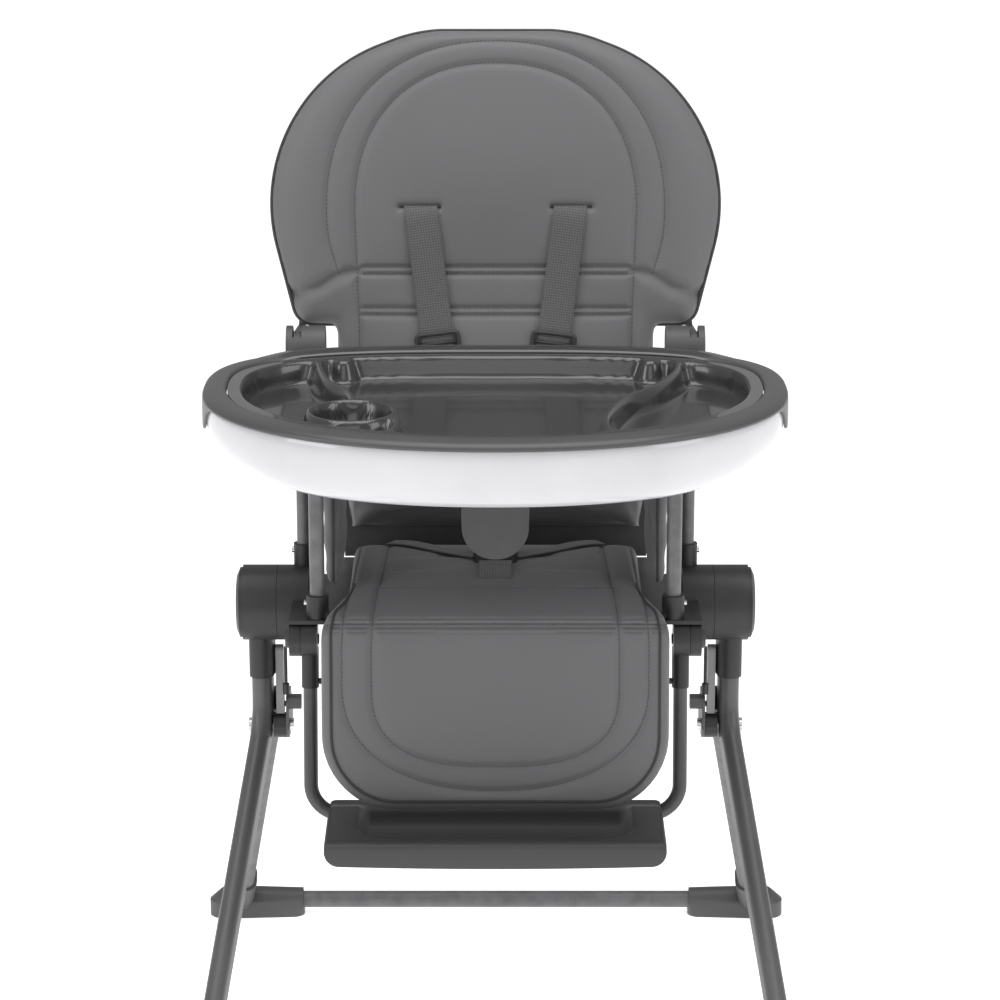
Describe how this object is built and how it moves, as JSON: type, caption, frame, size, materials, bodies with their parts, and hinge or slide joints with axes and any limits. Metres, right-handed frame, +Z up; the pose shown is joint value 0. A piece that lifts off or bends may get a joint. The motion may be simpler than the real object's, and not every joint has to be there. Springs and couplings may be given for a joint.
{
  "type": "baby high chair",
  "caption": "Folding baby high chair on a tube A-frame, with padded reclining back, swinging calf rest with footrest, sliding tray with lift-out insert and harness.",
  "frame": {"origin": "centre of the bounding box in plan, on the floor", "axes": "+X to the right side seen from the front, front of the chair is -Y, +Z up"},
  "size_m": [0.656, 0.78, 1.0487],
  "materials": {
    "leg_paint": "satin dark grey paint",
    "rear_leg_paint": "satin mid grey paint",
    "arm_tube_paint": "satin mid grey paint",
    "rail_metal": "satin light grey paint",
    "bright_steel": "bright",
    "hub_plastic": "fine grain",
    "shoe_plastic": "fine grain",
    "black_plastic": "satin",
    "shell_plastic": "fine grain",
    "footrest_plastic": "satin",
    "cover_fabric": "coated cloth, padded",
    "webbing": "woven webbing",
    "tray_white": "gloss",
    "tray_grey": "satin",
    "insert_gloss": "gloss"
  },
  "bodies": {
    "front_frame": {"front_leg_left": "leg_paint", "front_leg_right": "leg_paint", "front_crossbar": "leg_paint", "front_foot_left": "shoe_plastic", "front_foot_right": "shoe_plastic", "hub_outer_left": "hub_plastic", "hub_outer_right": "hub_plastic", "hub_axles": "bright_steel", "leg_bolts": "bright_steel", "leg_spacers": "black_plastic", "latch_rails": "rail_metal"},
    "rear_frame": {"rear_leg_left": "rear_leg_paint", "rear_leg_right": "rear_leg_paint", "rear_crossbar": "rear_leg_paint", "rear_foot_left": "shoe_plastic", "rear_foot_right": "shoe_plastic", "leg_brackets": "rear_leg_paint"},
    "seat_frame": {"hub_inner_left": "hub_plastic", "hub_inner_right": "hub_plastic", "seat_rails": "hub_plastic", "hinge_blocks": "hub_plastic", "arm_tubes": "arm_tube_paint", "tube_collars": "hub_plastic", "armrest_left": "shell_plastic", "armrest_right": "shell_plastic", "seat_pan": "shell_plastic", "back_panel": "shell_plastic", "seat_pad": "cover_fabric", "lower_back_pad": "cover_fabric", "side_wing_left": "cover_fabric", "side_wing_right": "cover_fabric", "seat_straps": "webbing", "buckle": "black_plastic"},
    "back": {"back_shell": "shell_plastic", "back_arms": "shell_plastic", "back_pad": "cover_fabric", "shoulder_straps": "webbing", "strap_adjusters": "black_plastic"},
    "recline_pull": {"recline_handle": "black_plastic"},
    "calf_rest": {"calf_tube_left": "arm_tube_paint", "calf_tube_right": "arm_tube_paint", "calf_sleeves": "hub_plastic", "calf_board": "shell_plastic", "calf_pad": "cover_fabric", "footrest": "footrest_plastic"},
    "tray": {"tray_shell": "tray_white", "tray_rim": "tray_grey", "crotch_post": "footrest_plastic"},
    "insert": {"tray_insert": "insert_gloss"},
    "clip_left": {"tray_clip_left": "tray_white"},
    "clip_right": {"tray_clip_right": "tray_white"},
    "calf_press_left": {"calf_button_left": "tray_grey"},
    "calf_press_right": {"calf_button_right": "tray_grey"},
    "fold_cap_left": {"fold_button_left": "hub_plastic"},
    "fold_cap_right": {"fold_button_right": "hub_plastic"},
    "release_rod_left": {"fold_rod_left": "black_plastic"},
    "release_rod_right": {"fold_rod_right": "black_plastic"},
    "snap_left": {"snap_buttons_left": "bright_steel"},
    "snap_right": {"snap_buttons_right": "bright_steel"},
    "buckle_press": {"buckle_button": "tray_grey"}
  },
  "joints": [
    {"name": "leg_fold", "type": "hinge", "parent": "front_frame", "child": "rear_frame", "pos_m": [0, 0, 0.362], "axis": [1, 0, 0], "range_deg": [-82, 0]},
    {"name": "seat_fold", "type": "hinge", "parent": "front_frame", "child": "seat_frame", "pos_m": [0, 0, 0.493], "axis": [1, 0, 0], "range_deg": [-30, 0]},
    {"name": "recline", "type": "hinge", "parent": "seat_frame", "child": "back", "pos_m": [0, 0.045, 0.748], "axis": [1, 0, 0], "range_deg": [-30, 0]},
    {"name": "calf_swing", "type": "hinge", "parent": "seat_frame", "child": "calf_rest", "pos_m": [0, -0.115, 0.492], "axis": [1, 0, 0], "range_deg": [-75, 0]},
    {"name": "handle_pull", "type": "slide", "parent": "back", "child": "recline_pull", "axis": [0, 0.1564, 0.9877], "range_m": [0, 0.01], "stiffness_N_per_m": 400},
    {"name": "tray_slide", "type": "slide", "parent": "seat_frame", "child": "tray", "axis": [0, -1, 0], "range_m": [0, 0.06]},
    {"name": "insert_lift", "type": "slide", "parent": "tray", "child": "insert", "axis": [0, 0, 1], "range_m": [0, 0.08]},
    {"name": "clip_press_left", "type": "slide", "parent": "tray", "child": "clip_left", "axis": [0, 0, 1], "range_m": [0, 0.005], "stiffness_N_per_m": 300},
    {"name": "calf_button_press_left", "type": "slide", "parent": "seat_frame", "child": "calf_press_left", "axis": [1, 0, 0], "range_m": [0, 0.0025], "stiffness_N_per_m": 300},
    {"name": "hub_cap_press_left", "type": "slide", "parent": "front_frame", "child": "fold_cap_left", "axis": [1, 0, 0], "range_m": [0, 0.004], "stiffness_N_per_m": 500},
    {"name": "rod_lift_left", "type": "slide", "parent": "front_frame", "child": "release_rod_left", "axis": [0, 0, 1], "range_m": [0, 0.004]},
    {"name": "snap_press_left", "type": "slide", "parent": "seat_frame", "child": "snap_left", "axis": [1, 0, 0], "range_m": [0, 0.003], "stiffness_N_per_m": 300},
    {"name": "clip_press_right", "type": "slide", "parent": "tray", "child": "clip_right", "axis": [0, 0, 1], "range_m": [0, 0.005], "stiffness_N_per_m": 300},
    {"name": "calf_button_press_right", "type": "slide", "parent": "seat_frame", "child": "calf_press_right", "axis": [-1, 0, 0], "range_m": [0, 0.0025], "stiffness_N_per_m": 300},
    {"name": "hub_cap_press_right", "type": "slide", "parent": "front_frame", "child": "fold_cap_right", "axis": [-1, 0, 0], "range_m": [0, 0.004], "stiffness_N_per_m": 500},
    {"name": "rod_lift_right", "type": "slide", "parent": "front_frame", "child": "release_rod_right", "axis": [0, 0, 1], "range_m": [0, 0.004]},
    {"name": "snap_press_right", "type": "slide", "parent": "seat_frame", "child": "snap_right", "axis": [-1, 0, 0], "range_m": [0, 0.003], "stiffness_N_per_m": 300},
    {"name": "buckle_button_press", "type": "slide", "parent": "seat_frame", "child": "buckle_press", "axis": [0, 0, -1], "range_m": [0, 0.002], "stiffness_N_per_m": 300}
  ],
  "couplings": [
    {"joint": "rod_lift_left", "follows": "hub_cap_press_left", "ratio": 1},
    {"joint": "rod_lift_right", "follows": "hub_cap_press_right", "ratio": 1}
  ]
}
